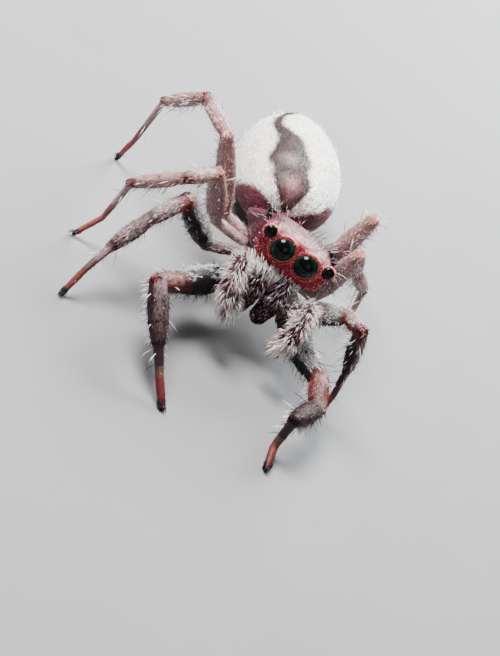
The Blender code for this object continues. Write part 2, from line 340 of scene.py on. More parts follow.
def build_body():
    """The source shapes of the skin."""
    body = Body()
    body.add("carapace", lofted(CARAPACE, COAT), HEAD)
    body.add("abdomen", lofted(ABDOMEN, COAT), REAR)
    round_rim, thick_rim, back_rim = EYE_RIM
    for kind in ("median", "side"):
        x, y, z, radius = EYES[kind]
        for side in SIDES.values():
            rim = ring_bump(radius * round_rim, radius * thick_rim)
            place = np.array(Matrix.Translation((side * x, y - radius * back_rim, z)))
            body.add("carapace", rim, HEAD @ place)
    for side_name, side in SIDES.items():
        for part, path, radii in (("jaw", JAW, JAW_RADII),
                                  ("palp_base", PALP_BASE, PALP_BASE_RADII),
                                  ("palp_tip", PALP_TIP[side_name], PALP_TIP_RADII)):
            body.add(part, tube_rings(spline(np.array(path) * (side, 1, 1), 5), radii), HEAD)
    body.add("sternum", tube_rings(BELLY, BELLY_RADII, 28), HEAD)
    body.add("sternum", tube_rings(WAIST, WAIST_RADII), HEAD)
    body.add("spinnerets", tube_rings(SPINNERETS, SPINNERET_RADII), REAR)
    for side_name in SIDES:
        for number, stout in enumerate(LEG_BUILD):
            joints = leg_joints(side_name, number)
            part = f"leg{number + 1}_{side_name}"
            LEG_PARTS[part] = joints
            for ends, radii in zip(zip(joints, joints[1:]), LEG_RADII):
                body.add(part, tube_rings(ends, [radius * stout for radius in radii]))
    return body


def read(rows, key, width, kind=float):
    """What a mesh's rows hold under a key, as an array."""
    values = np.empty(len(rows) * width, kind)
    rows.foreach_get(key, values)
    return values.reshape(-1, width)


def smooth_points(mesh, rounds, share):
    """Evens out a mesh: each vertex moves towards the middle of its neighbours, then about as
    far back, so that the mesh keeps its size."""
    points = read(mesh.vertices, "co", 3)
    a, b = read(mesh.edges, "vertices", 2, int).T
    valence = np.bincount(np.concatenate([a, b]), minlength=len(points))[:, None]
    for factor in (share, -share * 1.03) * rounds:
        total = np.zeros_like(points)
        np.add.at(total, a, points[b])
        np.add.at(total, b, points[a])
        points = points + factor * (total / valence - points)
    mesh.vertices.foreach_set("co", points.ravel())
    mesh.update()


def remeshed(body):
    """One closed skin round the body's shapes, in millimetres."""
    source = bpy.data.meshes.new("skin_source")
    source.from_pydata(body.points, [], body.faces)
    source.update()
    obj = bpy.data.objects.new("skin", source)
    bpy.context.scene.collection.objects.link(obj)
    fill = obj.modifiers.new("one_skin", "REMESH")
    fill.mode = "VOXEL"
    fill.voxel_size = VOXEL
    graph = bpy.context.evaluated_depsgraph_get()
    mesh = bpy.data.meshes.new_from_object(obj.evaluated_get(graph), depsgraph=graph)
    obj.modifiers.clear()
    obj.data = mesh
    smooth_points(mesh, 3, 0.5)
    mesh.name = "skin"
    return obj


class Skin:
    """The skin's triangles, normals and parts as arrays, in millimetres."""

    def __init__(self, mesh, body):
        mesh.calc_loop_triangles()
        self.points = read(mesh.vertices, "co", 3)
        self.normals = read(mesh.vertices, "normal", 3)
        self.triangles = read(mesh.loop_triangles, "vertices", 3, int)
        self.tree = BVHTree.FromPolygons(self.points.tolist(), self.triangles.tolist())
        self.names = sorted(set(body.parts))
        tree = BVHTree.FromPolygons(body.points, body.faces)
        self.parts = np.array([self.names.index(body.parts[tree.find_nearest(point)[2]])
                               for point in self.points.tolist()])
        corners = self.points[self.triangles]
        cross = np.cross(corners[:, 1] - corners[:, 0], corners[:, 2] - corners[:, 0])
        self.areas = np.linalg.norm(cross, axis=1) / 2
        self.part_of = self.parts[self.triangles[:, 0]]

    def roots(self, part, per_mm2, rng):
        """Points spread over a part: their places and normals."""
        chosen = np.flatnonzero(self.part_of == self.names.index(part))
        areas = self.areas[chosen]
        count = int(areas.sum() * per_mm2)
        picked = self.triangles[chosen[rng.choice(len(chosen), count, p=areas / areas.sum())]]
        a, b = rng.random((2, count, 1))
        flip = a + b > 1
        a, b = np.where(flip, 1 - a, a), np.where(flip, 1 - b, b)
        share = np.concatenate([1 - a - b, a, b], axis=1)[:, :, None]
        places = (self.points[picked] * share).sum(axis=1)
        return places, unit((self.normals[picked] * share).sum(axis=1))


def unit(vectors):
    """Vectors, as rows, made one long."""
    return vectors / np.maximum(np.linalg.norm(vectors, axis=-1, keepdims=True), 1e-9)


# ------------------------ markings


def mix(a, b, share):
    """A colour between two, a share of the way to the second."""
    return a + (b - a) * np.asarray(share)[..., None]


def step(value, start, end):
    """0 before start, 1 after end, and smooth between."""
    t = np.clip((np.asarray(value) - start) / (end - start), 0, 1)
    return t * t * (3 - 2 * t)


def ripple(points, size, seed):
    """Smooth blotches between 0 and 1 about size across, from a few crossed waves."""
    rng = np.random.default_rng(seed)
    total = np.zeros(len(points))
    for _ in range(7):
        wave = unit(rng.normal(size=3)) * 2 * math.pi / size * rng.uniform(0.6, 1.5)
        total += np.sin(points @ wave + rng.uniform(0, 2 * math.pi))
    return 0.5 + 0.5 * np.clip(total / 3.2, -1, 1)


def pick(chances, colours, roll):
    """A colour for each roll between 0 and 1. Each chance is a number or a row of them."""
    *chances, roll = np.broadcast_arrays(*chances, roll)
    totals = np.cumsum(np.stack(chances, axis=-1), axis=-1)
    totals /= totals[:, -1:]
    chosen = (roll[:, None] > totals).sum(axis=1)
    return np.asarray(colours)[np.minimum(chosen, len(colours) - 1)]


def dorsal_of(axis):
    """The upper side of limbs that run along the rows of axis."""
    flat = axis * (1, 1, 0)
    level = np.linalg.norm(flat, axis=1, keepdims=True)
    outward = unit(np.where(level > 0.05, flat, np.array((0.0, -1.0, 0.0))))
    return unit(np.array((0.0, 0, 1)) * level - outward * axis[:, 2:])


def along_legs(part, points):
    """Where points are on a leg: segment, share of its length, and how dorsal and how far
    ahead they face, with the segment's direction."""
    joints = np.array(LEG_PARTS[part])
    starts, ends = joints[:-1], joints[1:]
    axes = ends - starts
    lengths = np.linalg.norm(axes, axis=1)
    axes = axes / lengths[:, None]
    offset = points[:, None] - starts[None]
    place = (offset * axes[None]).sum(axis=2)
    share = np.clip(place / lengths, 0, 1)
    radial = offset - (share * lengths)[:, :, None] * axes[None]
    distance = np.linalg.norm(radial, axis=2)
    segment = distance.argmin(axis=1)
    rows = np.arange(len(points))
    share, radial = share[rows, segment], unit(radial[rows, segment])
    axis = axes[segment]
    dorsal = dorsal_of(axis)
    ahead = unit(np.cross(axis, dorsal)) * np.sign(joints[2][0])
    return segment, share, (radial * dorsal).sum(axis=1), (radial * ahead).sum(axis=1), axis


LEG_PALETTE = (BLACK, BARK, WINE, RED, ORANGE, PEACH, SILVER, WHITE)
# For each stretch of a leg: segment, from and to as shares of it, then how much of each colour
# of the palette its underside holds, then its back on the first, second and rear pairs.
LEG_MARKS = (
    (0, 0.0, 1.0, (3, 3, 3, 1, 0, 3, 2, 2),
     (1, 1, 2, 1, 0, 4, 4, 5), (1, 1, 2, 1, 0, 4, 4, 5), (1, 1, 2, 1, 1, 5, 3, 5)),
    (1, 0.0, 0.14, (8, 3, 8, 2, 0, 1, 0, 0),
     (4, 2, 9, 3, 1, 1, 0, 0), (2, 2, 6, 4, 1, 2, 2, 3), (1, 1, 3, 3, 1, 6, 4, 8)),
    (1, 0.14, 0.88, (60, 5, 1, 0, 0, 0, 0, 0),
     (3, 0, 0, 0, 0, 1, 4, 30), (3, 1, 0, 0, 0, 1, 6, 30), (0, 2, 5, 5, 2, 10, 1, 11)),
    (1, 0.88, 1.0, (8, 3, 6, 5, 3, 1, 0, 0),
     (8, 3, 3, 3, 6, 6, 1, 6), (2, 2, 3, 2, 4, 6, 2, 9), (0, 1, 4, 3, 3, 8, 2, 7)),
    (2, 0.0, 0.24, (4, 3, 5, 9, 5, 1, 0, 0),
     (2, 3, 3, 4, 9, 7, 1, 4), (1, 2, 3, 3, 4, 7, 2, 7), (1, 1, 3, 3, 3, 8, 1, 5)),
    (2, 0.24, 0.82, (6, 5, 4, 3, 2, 3, 3, 2),
     (8, 7, 5, 3, 6, 10, 1, 2), (2, 2, 2, 1, 1, 9, 4, 14), (1, 1, 2, 2, 1, 12, 2, 11)),
    (2, 0.82, 1.0, (5, 4, 9, 5, 1, 0, 0, 0),
     (5, 6, 6, 3, 3, 6, 1, 3), (3, 4, 9, 2, 1, 5, 2, 3), (2, 4, 6, 2, 1, 5, 1, 2)),
    (3, 0.0, 0.16, (8, 6, 6, 4, 1, 1, 0, 0),
     (6, 7, 4, 1, 2, 8, 2, 4), (4, 5, 7, 1, 1, 7, 3, 5), (2, 4, 4, 2, 1, 8, 2, 4)),
    (3, 0.16, 0.88, (34, 10, 3, 1, 0, 0, 1, 0),
     (30, 12, 8, 2, 3, 8, 0, 3), (8, 6, 3, 1, 0, 7, 4, 10), (3, 3, 2, 2, 1, 11, 3, 9)),
    (3, 0.88, 1.0, (16, 8, 6, 1, 0, 0, 0, 0),
     (14, 8, 6, 3, 0, 0, 0, 0), (7, 6, 7, 3, 0, 1, 1, 0), (6, 6, 5, 2, 0, 3, 2, 1)),
    (4, 0.0, 0.62, (14, 8, 6, 2, 0, 1, 0, 0),
     (14, 9, 6, 2, 0, 1, 1, 0), (2, 2, 3, 3, 1, 8, 6, 6), (1, 1, 1, 2, 1, 10, 4, 8)),
    (4, 0.62, 1.0, (5, 5, 5, 4, 2, 3, 1, 0),
     (3, 3, 3, 4, 3, 7, 2, 1), (5, 4, 5, 4, 2, 4, 1, 1), (3, 3, 4, 4, 2, 6, 1, 1)),
    (5, 0.0, 0.8, (1, 2, 6, 9, 4, 1, 0, 0),
     (0, 2, 5, 10, 6, 2, 0, 0), (0, 1, 3, 9, 6, 5, 1, 0), (0, 1, 2, 7, 6, 7, 1, 0)),
    (5, 0.8, 1.0, (6, 4, 4, 4, 0, 0, 0, 0),
     (3, 4, 5, 7, 2, 0, 0, 0), (8, 4, 1, 0, 0, 0, 0, 0), (8, 4, 1, 0, 0, 0, 0, 0)),
)
# Where the white back of a front femur begins, and how much of it is broken by black.
FEMUR_STREAK = {"left": (-0.1, 0.15), "right": (0.62, 0.64)}


def leg_colours(part, points, roll):
    """Skin and hair colours on a leg."""
    number = int(part[3])
    segment, t, dorsal, ahead, _ = along_legs(part, points)
    blotch = ripple(points, 0.42, number)
    fine = ripple(points, 0.22, 40 + number)
    t = t + 0.1 * (blotch - 0.5)
    low = (0.3, -0.05, -1.4, -1.4)[number - 1]
    top = step(dorsal + 0.5 * (blotch - 0.5), low, low + 0.25)
    left = part.endswith("left")
    edge, streak = FEMUR_STREAK["left" if left else "right"]
    ridge = step(dorsal - 0.3 * ahead + 0.5 * (blotch - 0.5), edge, edge + 0.15)
    bare = step(ahead, -0.5, -0.1) * (1 - step(fine, streak - 0.04, streak + 0.04))
    streaks = ridge * (1 - bare)
    if number > 1:
        low = -0.8 if left else 0.1
        streaks = top if number > 2 else step(dorsal + 0.4 * (blotch - 0.5), low, low + 0.2)
    chances = np.ones((len(points), len(LEG_PALETTE))) * 0.002
    for mark, start, end, under, *backs in LEG_MARKS:
        first = start if start > 0 else -9
        last = end if end < 1 else 9
        here = (segment == mark) & (t >= first) & (t < last)
        back = np.array(backs[min(number, len(backs)) - 1], float)
        belly = np.array(under, float)
        share = streaks if mark == 1 else top
        chances[here] += mix((belly / belly.sum())[None], (back / back.sum())[None], share[here])
    chances = chances ** 1.25
    # Hairs of one colour lie together in small bunches, as well as singly.
    bunch = ripple(points, 0.13, 60 + number)
    hair = pick(chances.T, LEG_PALETTE, np.clip(0.55 * roll + 0.45 * bunch, 0, 0.999))
    # The skin is the hair's average colour darkened towards wine or bark: painted shade under the
    # coat.
    average = chances @ np.array(LEG_PALETTE) / chances.sum(axis=1)[:, None]
    shadow = WINE if number > 2 else BARK
    return mix(average, shadow, 0.5) * (0.7 if number > 2 else 0.4), hair


def abdomen_colours(points, roll):
    """White, with a dark band along the back, wine flanks in front and a grey underside."""
    local = moved(REAR_BACK, points)
    v = np.clip(local[:, 1] / ABDOMEN_LENGTH, 0, 1)
    along, halves, tops, _ = np.transpose(ABDOMEN)
    half, height = np.interp(local[:, 1], along, halves), np.interp(local[:, 1], along, tops)
    angle = np.degrees(np.arctan2(local[:, 0] / half, local[:, 2] / height))
    # The band bears to the spider's right behind the front, and comes back at the rear.
    drift = 12 * step(v, 0, 0.2) + 17 * step(v, 0.32, 0.52) - 22 * step(v, 0.6, 0.9)
    angle = np.abs(angle + drift)
    wobble = (ripple(points, 0.9, 21) - 0.5) * 7
    band = (28 - 12 * step(v, 0.05, 0.3) - 9 * step(v, 0.36, 0.5)
            + 5 * np.exp(-((v - 0.2) / 0.05) ** 2))
    inside = 1 - step(angle + wobble, band - 3, band + 3)
    pink = np.exp(-((v - 0.06) / 0.035) ** 2 - (angle / 13) ** 2)
    spot = 0.5 * np.exp(-((v - 0.2) / 0.04) ** 2 - (angle / 11) ** 2)
    edge = 58 + 30 * step(v, 0.02, 0.24) + 3 * np.sign(local[:, 0])
    side = step(angle + wobble * 1.4, edge, edge + 10 + 4 * v)
    under = step(angle + wobble, 108, 126)
    front = 1 - step(v, 0.02, 0.06)
    dark = mix(SLATE[None] * 0.3, BROWN[None] * 0.45, 0.3 + 0.5 * ripple(points, 0.7, 5))
    dark = mix(dark, mix(BEIGE, SALMON, 0.4) * 0.75, np.clip(pink * 0.8, 0, 1))
    dark = mix(dark, BEIGE * 0.95, spot * 0.8)
    pale = mix(CREAM[None], WHITE[None], ripple(points, 0.8, 9))
    flank = mix(BEIGE[None] * 0.75, SALMON * 0.62, 0.2 + 0.35 * ripple(points, 1.1, 11))
    flank = mix(flank, WINE * 1.2, 0.9 * (1 - step(v, 0.15, 0.4)))
    belly = mix(BEIGE * 0.8, SLATE[None], ripple(points, 1.3, 15) * 0.6)
    colour = mix(pale, dark, inside)
    colour = mix(colour, flank, side * (1 - inside))
    colour = mix(colour, belly, under)
    colour = mix(colour, WINE * 1.1, front * (1 - step(angle, 20, 60)) * 0.3)
    fleck = np.where(roll < 0.1, 0.6, np.where(roll > 0.86, 1.12, 1.0))[:, None]
    rim = np.exp(-((angle + wobble - band) / 4) ** 2)[:, None] * (1 - side)[:, None]
    colour = colour * (1 - 0.25 * rim * (1, 1.3, 1.3))
    # The skin is the hair's colour darkened: painted shade under the coat.
    return colour * 0.65, np.clip(colour * fleck, 0, 0.95)


def carapace_colours(points, roll):
    """Crimson face, pale rings and band at the front eyes, dark crimson above and behind."""
    local = moved(HEAD_BACK, points)
    x, y, z = np.abs(local[:, 0]), local[:, 1], local[:, 2]
    blotch = ripple(points, 0.35, 31)
    face = 1 - step(y, -1.96, -1.84)
    band = step(y, -1.95, -1.86) * (1 - step(y + 0.12 * (blotch - 0.5), -1.5, -1.3))
    band = band * step(z, 0.5, 0.66)
    crown = step(y, -1.45, -1.25) * (1 - step(y, -0.75, -0.4)) * step(z, 0.35, 0.55)
    cheek = step(y, -1.8, -1.62) * (1 - step(y, -1.0, -0.8)) * step(0.5 - z, 0.2, 0.4)
    margin = 1 - step(z + 0.12 * blotch, -0.3, -0.2)
    around = np.full(len(points), 9.0)
    for kind in ("median", "side"):
        ex, _, ez, radius = EYES[kind]
        around = np.minimum(around, np.hypot(x - ex, z - ez) / radius)
    ring = face * (1 - step(around, 1.12, 1.3))
    chin = face * (1 - step(z, -0.16, 0.02))
    outer = face * step(x, 0.55, 0.8)
    rest = 1 - np.clip(face + band + crown, 0, 1)
    stripe = band * np.exp(-((y + 1.74 + 0.1 * (blotch - 0.5)) / 0.12) ** 2)
    chances = [       # black, wine, crimson, red, orange, salmon, silver and cream
        0.4 * rest + 0.14 * band + 0.1 * crown,
        0.25 * rest + 0.3 * crown + 0.3 * face * chin + 0.16 * band,
        0.8 * face * (1 - 0.75 * outer) + 0.46 * crown + 0.45 * rest + 0.36 * (band - 0.8 * stripe),
        0.14 * face * (1 - chin) + 0.3 * crown + 0.2 * (band - stripe),
        0.03 * face + 0.6 * ring + 0.1 * crown + 0.08 * (band - stripe),
        0.05 * face + 0.6 * outer + 0.12 * crown + 0.28 * band + 0.7 * ring + 0.02 * rest,
        0.5 * stripe + 0.04 * band + 0.04 * crown + 0.02 * rest + 0.3 * outer,
        0.1 * band + 1.2 * cheek + 0.9 * margin + 0.03 * face,
    ]
    palette = (BLACK, WINE, CRIMSON, RED, mix(ORANGE, PEACH, 0.5), SALMON, SILVER, CREAM)
    hair = pick([np.clip(c, 1e-4, None) for c in chances], palette, roll)
    skin = mix(WINE[None], CRIMSON, face)
    skin = mix(skin, SALMON * 0.6, 0.6 * band)
    return skin * (0.45 + 0.4 * blotch - 0.25 * rest - 0.2 * crown)[:, None], hair


def plain_colours(skin, palette, chances):
    """The colour function of a part without markings."""
    def colours(points, roll):
        return skin * (0.7 + 0.6 * ripple(points, 0.4, 3)[:, None]), pick(chances, palette, roll)
    return colours


def jaw_colours(points, roll):
    """Wine-dark, with more pale hair near the face."""
    upper = step(moved(HEAD_BACK, points)[:, 2], *JAW_PALER)
    chances = (0.6 * (1 - upper) + 0.5, 0.4 * (1 - upper) + 0.2, 0.16 + 0.1 * upper, 0.08,
               0.12 * upper + 0.01)
    hair = pick(chances, (WINE * 0.5, BARK * 0.6, SILVER * 0.8, GREY, WHITE), roll)
    return linear("25090f") * (0.7 + 0.6 * ripple(points, 0.4, 3)[:, None]), hair


def palp_colours(points, roll):
    """Pale grey feelers with a wine-red joint a third of the way down."""
    z = moved(HEAD_BACK, points)[:, 2]
    joint = np.exp(-((z - PALP_JOINT) / 0.13) ** 2)
    tip = step(-z, 1.3, 1.9)
    chances = (0.06 + 0.2 * tip, 0.05 + 0.9 * joint, 0.08 + 0.25 * tip, 0.28 * (1 - tip),
               0.6 * (1 - 0.6 * tip), 0.22)
    palette = (BARK, WINE * 1.3, GREY, SILVER, WHITE, PEACH)
    skin = mix(mix(WINE[None] * 0.7, WINE, joint), BARK * 0.6, tip)
    return skin, pick(chances, palette, roll)


JAW_PALER = (-1.05, -0.7)            # heights between which a jaw turns paler
PALP_JOINT = -0.98                   # height of the red joint of the feelers
COLOURS = {
    "carapace": carapace_colours,
    "abdomen": abdomen_colours,
    "jaw": jaw_colours,
    "palp_base": palp_colours,
    "palp_tip": palp_colours,
    "sternum": plain_colours(BARK, (BROWN, CREAM, SALMON), (0.4, 0.4, 0.2)),
    "spinnerets": plain_colours(BROWN, (BROWN, BEIGE, GREY), (0.4, 0.3, 0.3)),
}


def colours_of(part, points, roll):
    """Skin and hair colours at points of a part, by a roll between 0 and 1 for each."""
    if part in LEG_PARTS:
        return leg_colours(part, points, roll)
    return COLOURS[part](points, roll)


# ------------------------ hair

TUFT_PATCH = 0.0012   # half the size of a hair's patch on its map
FLOOR_GAP = 0.004     # hair and claws keep this far off the floor
ROOT_DEPTH = 0.015    # how far a hair starts under the skin
HAIR_LENGTHS = (1.0, 0.9, 1.0, 1.0, 0.62, 0.5)   # on a leg's six segments
HAIR_SIDES = 3
# Painted shade and light along each hair: darker at its root and lighter at its tip; factors at
# root, middle and tip.
HAIR_PAINTED_SHADE = (0.72, 0.72, 0.72, 1, 1, 1, 1.12)   # root, middle and tip
HAIR_PATCH = ((-1, -1), (0, -0.7), (1, -1), (-1, 0), (0, 0.3), (1, 0), (0, 1))


class Coat:
    """Hairs gathered for one piece. Each is a slim spike of two lengths."""

    def __init__(self, name):
        self.name = name
        self.points, self.colours, self.maps = [], [], []

    def add(self, rng, roots, normals, lie, colours, chart, length, width, rise, droop=0.6,
            flat=0.55, stray=0.18):
        """length, width, rise and stray are typical values; each hair varies from them."""
        count = len(roots)
        if not count:
            return
        size = np.asarray(length) * rng.uniform(0.7, 1.25, count)
        thick = np.asarray(width) * rng.uniform(0.75, 1.25, count) / 2
        lie = lie + rng.normal(0, stray, (count, 3))
        lie = unit(lie - normals * (lie * normals).sum(axis=1, keepdims=True))
        lift = np.radians(np.clip(np.asarray(rise) * rng.uniform(0.6, 1.4, count), 3, 88))
        first = unit(lie * np.cos(lift)[:, None] + normals * np.sin(lift)[:, None])
        later = lift * (1 - droop)
        second = unit(lie * np.cos(later)[:, None] + normals * np.sin(later)[:, None])
        side = unit(np.cross(first, normals + rng.normal(0, 0.2, (count, 3))))
        over = np.cross(side, first)
        base = roots - normals * ROOT_DEPTH
        middle = base + first * (0.5 * size)[:, None]
        tip = middle + second * (0.5 * size)[:, None]
        corners = []
        for centre, share in ((base, 0.85), (middle, 1.0)):
            for k in range(HAIR_SIDES):
                turn = 2 * math.pi * k / HAIR_SIDES
                out = side * math.cos(turn) + over * (math.sin(turn) * flat)
                corners.append(centre + out * (thick * share)[:, None])
        corners.append(tip)
        points = np.stack(corners, axis=1)
        points[:, :, 2] = np.maximum(points[:, :, 2], FLOOR_GAP)
        self.points.append(points)
        # Painted shade at each hair's root, painted light at its tip.
        shade = np.array(HAIR_PAINTED_SHADE)[None, :, None]
        self.colours.append(np.clip(colours[:, None] * shade, 0, 1))
        self.maps.append(chart(roots))

    def grow(self, rng, skin, part, layers, lie, chart, keep=None, scale=None, shade=None):
        """Covers a part of the skin with layers of hair.

        A layer is hairs per mm2, length, width, rise and stray. lie may be, and keep and
        scale are, functions of the roots; scale gives factors for length, width and rise.
        """
        for density, length, width, rise, stray in layers:
            places, normals = skin.roots(part, density, rng)
            if keep:
                kept = keep(places)
                places, normals = places[kept], normals[kept]
            colours = colours_of(part, places, rng.random(len(places)))[1]
            if shade:
                colours = colours * rng.uniform(*shade, len(places))[:, None]
            longer, wider, steeper = scale(places) if scale else (1, 1, 1)
            self.add(rng, places, normals, lie(places) if callable(lie) else lie, colours, chart,
                     length * longer, width * wider, rise * steeper, stray=stray)

    def build(self, slot):
        points = np.concatenate(self.points)
        colours = np.concatenate(self.colours)
        maps = np.concatenate(self.maps)
        count, each = points.shape[:2]
        shape = [(0, 2, 1)]
        for k in range(HAIR_SIDES):
            after = (k + 1) % HAIR_SIDES
            shape += [(k, after, 3 + after), (k, 3 + after, 3 + k), (3 + k, 3 + after, 6)]
        faces = (np.arange(count)[:, None, None] * each + np.array(shape)).reshape(-1, 3)
        places = maps[:, None] + np.array(HAIR_PATCH) * TUFT_PATCH
        obj = mesh_object(self.name, points.reshape(-1, 3), faces, colours.reshape(-1, 3),
                          places.reshape(-1, 2)[faces.ravel()])
        dress(obj, FUR)


def mesh_object(name, points, faces, colours=None, maps=None):
    """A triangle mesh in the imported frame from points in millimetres."""
    mesh = bpy.data.meshes.new(name)
    faces = np.asarray(faces, np.int32)
    count = len(faces)
    mesh.vertices.add(len(points))
    mesh.vertices.foreach_set("co", ((points + SHIFT) * MM).astype(np.float32).ravel())
    mesh.loops.add(count * 3)
    mesh.loops.foreach_set("vertex_index", faces.ravel())
    mesh.polygons.add(count)
    mesh.polygons.foreach_set("loop_start", np.arange(0, count * 3, 3, dtype=np.int32))
    mesh.polygons.foreach_set("use_smooth", np.ones(count, bool))
    mesh.update(calc_edges=True)
    if colours is not None:
        paint_on(mesh, colours)
    if maps is not None:
        layer = mesh.uv_layers.new(name="OFBake")
        layer.data.foreach_set("uv", np.asarray(maps, np.float32).ravel())
    obj = bpy.data.objects.new(name, mesh)
    bpy.context.scene.collection.objects.link(obj)
    return obj


def paint_on(mesh, colours):
    """Keeps colours, as rows, at the mesh's vertices."""
    layer = mesh.color_attributes.new("coat", "FLOAT_COLOR", "POINT")
    rows = np.column_stack([colours, np.ones(len(colours))])
    layer.data.foreach_set("color", rows.astype(np.float32).ravel())


def dress(obj, material):
    """Finish and body of a piece."""
    obj.data.materials.append(material)
    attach(obj, "root")


# ------------------------ materials


def node(tree, kind, inputs, **settings):
    """A node with its inputs linked to sockets, or set to values. Gives its outputs."""
    made = tree.nodes.new(kind)
    for key, value in settings.items():
        setattr(made, key, value)
    fill_in(tree, made, inputs)
    return made.outputs


def fill_in(tree, made, inputs):
    """Links or sets a node's inputs."""
    for key, value in inputs.items():
        if isinstance(value, bpy.types.NodeSocket):
            tree.links.new(value, made.inputs[key])
        else:
            made.inputs[key].default_value = value


def noise(tree, scale, detail=4):
    """Noise in object space; scale is waves per millimetre."""
    place = node(tree, "ShaderNodeTexCoord", {})["Object"]
    return node(tree, "ShaderNodeTexNoise", {"Vector": place, "Scale": scale / MM,
                                             "Detail": detail, "Roughness": 0.6})["Fac"]


def spread(tree, value, low, high):
    """The middle of the noise's range, stretched from low to high."""
    return node(tree, "ShaderNodeMapRange", {"Value": value, "From Min": 0.3, "From Max": 0.7,
                                             "To Min": low, "To Max": high})["Result"]


def blank(name):
    """A new material, with its tree and its shader."""
    material = bpy.data.materials.new(name)
    material.use_nodes = True
    return material, material.node_tree, material.node_tree.nodes["Principled BSDF"]


def painted(name, grain, rough, shade, depth, values=()):
    """A finish whose colour is the painted one, with grain in its colour, gloss and relief."""
    material, tree, main = blank(name)
    colour = node(tree, "ShaderNodeAttribute", {}, attribute_name="coat")["Color"]
    grained = node(tree, "ShaderNodeVectorMath", {
        "Vector": colour, "Scale": spread(tree, noise(tree, grain), *shade)}, operation="SCALE")
    relief = node(tree, "ShaderNodeBump", {
        "Height": noise(tree, grain * 2.2, 3), "Strength": 0.5, "Distance": depth * MM})
    fill_in(tree, main, {"Base Color": grained["Vector"], "Normal": relief["Normal"],
                         "Roughness": spread(tree, noise(tree, grain * 0.4, 2), *rough)})
    fill_in(tree, main, dict(values))
    return material


FUR = painted("fur", 9, (0.5, 0.75), (0.8, 1.15), 0.006, {"Specular IOR Level": 0.06})
HIDE = painted("hide", 14, (0.4, 0.65), (0.6, 1.25), 0.02, {"Specular IOR Level": 0.25})
GLASS = painted("lens", 5, (0.03, 0.07), (0.85, 1.1), 0.0004,
                {"IOR": 1.3, "Specular IOR Level": 0.3})
HORN = painted("horn", 12, (0.2, 0.4), (0.8, 1.2), 0.004)

# ------------------------ maps for the coat


def polar_chart(matrix, centre, axis_length):
    """Maps points by turn about a body's axis, and angle from its rear end to its front."""
    def chart(points):
        local = moved(matrix, points) - centre
        turn = np.arctan2(local[:, 0], local[:, 2]) / (2 * math.pi) + 0.5
        level = np.hypot(local[:, 0], local[:, 2])
        end = np.arctan2(level * axis_length, local[:, 1]) / math.pi
        return 0.02 + 0.96 * np.column_stack([turn, end])
    return chart


def leg_chart(part):
    """Maps points by how far down the leg they are, and turn about it."""
    def chart(points):
        segment, share, dorsal, ahead, _ = along_legs(part, points)
        turn = np.arctan2(ahead, dorsal) / (2 * math.pi) + 0.5
        return 0.02 + 0.96 * np.column_stack([(segment + share) / 6, turn])
    return chart


HEAD_CHART = polar_chart(HEAD_BACK, (0, 0, 0.2), 1.6)
ABDOMEN_CHART = polar_chart(REAR_BACK, (0, 3.0, 0), 1.7)
PALP_CHART = polar_chart(HEAD_BACK, (0, -1.5, 0.1), 1.0)
JAW_CHART = polar_chart(HEAD_BACK, (0, -1.2, -0.6), 1.0)
UNDER_CHARTS = {
    "sternum": polar_chart(HEAD_BACK, (0, 0, -0.6), 1.0),
    "spinnerets": polar_chart(REAR_BACK, (0, 6.2, 0), 1.0),
}

# ------------------------ coats of each part

# Layers of hair: per mm2, length, width, rise and stray.
HEAD_LAYERS = ((800, 0.1, 0.024, 9, 0.2), (24, 0.2, 0.013, 34, 0.3))
FACE_LAYERS = ((3200, 0.07, 0.02, 16, 0.3),)
ABDOMEN_LAYERS = ((520, 0.16, 0.027, 8, 0.16), (16, 0.3, 0.014, 30, 0.2))
FRONT_LEG_LAYERS = ((1350, 0.115, 0.022, 9, 0.13), (75, 0.21, 0.013, 32, 0.13))
REAR_LEG_LAYERS = ((950, 0.115, 0.022, 9, 0.13), (45, 0.21, 0.013, 32, 0.13))
JAW_LAYERS = ((1500, 0.13, 0.015, 16, 0.2),)
UNDER_LAYERS = ((380, 0.16, 0.018, 20, 0.18),)
PALP_LAYERS = ((900, 0.14, 0.018, 24, 0.2), (520, 0.37, 0.0155, 56, 0.2))
RING_HAIR = (("median", 260, 0.1), ("side", 230, 0.09))   # hairs per mm round, length
BEARD_HAIRS = 260
HEAD_BRISTLES = 150
FACE_FRONT = -1.9     # the face is ahead of this


def head_lie(places):
    """Rearward on the head, and down over the face."""
    face = (1 - step(moved(HEAD_BACK, places)[:, 1], -1.95, -1.85))[:, None]
    return face * -HEAD[:3, 2] + (1 - face) * HEAD[:3, 1]


def off_lenses(local):
    """Whether points, in the carapace's frame, are clear of the eyes' lenses."""
    clear = np.ones(len(local), bool)
    for x, y, z, radius in EYES.values():
        for side in SIDES.values():
            clear &= np.linalg.norm(local - (side * x, y, z), axis=1) > radius * 1.03
    return clear


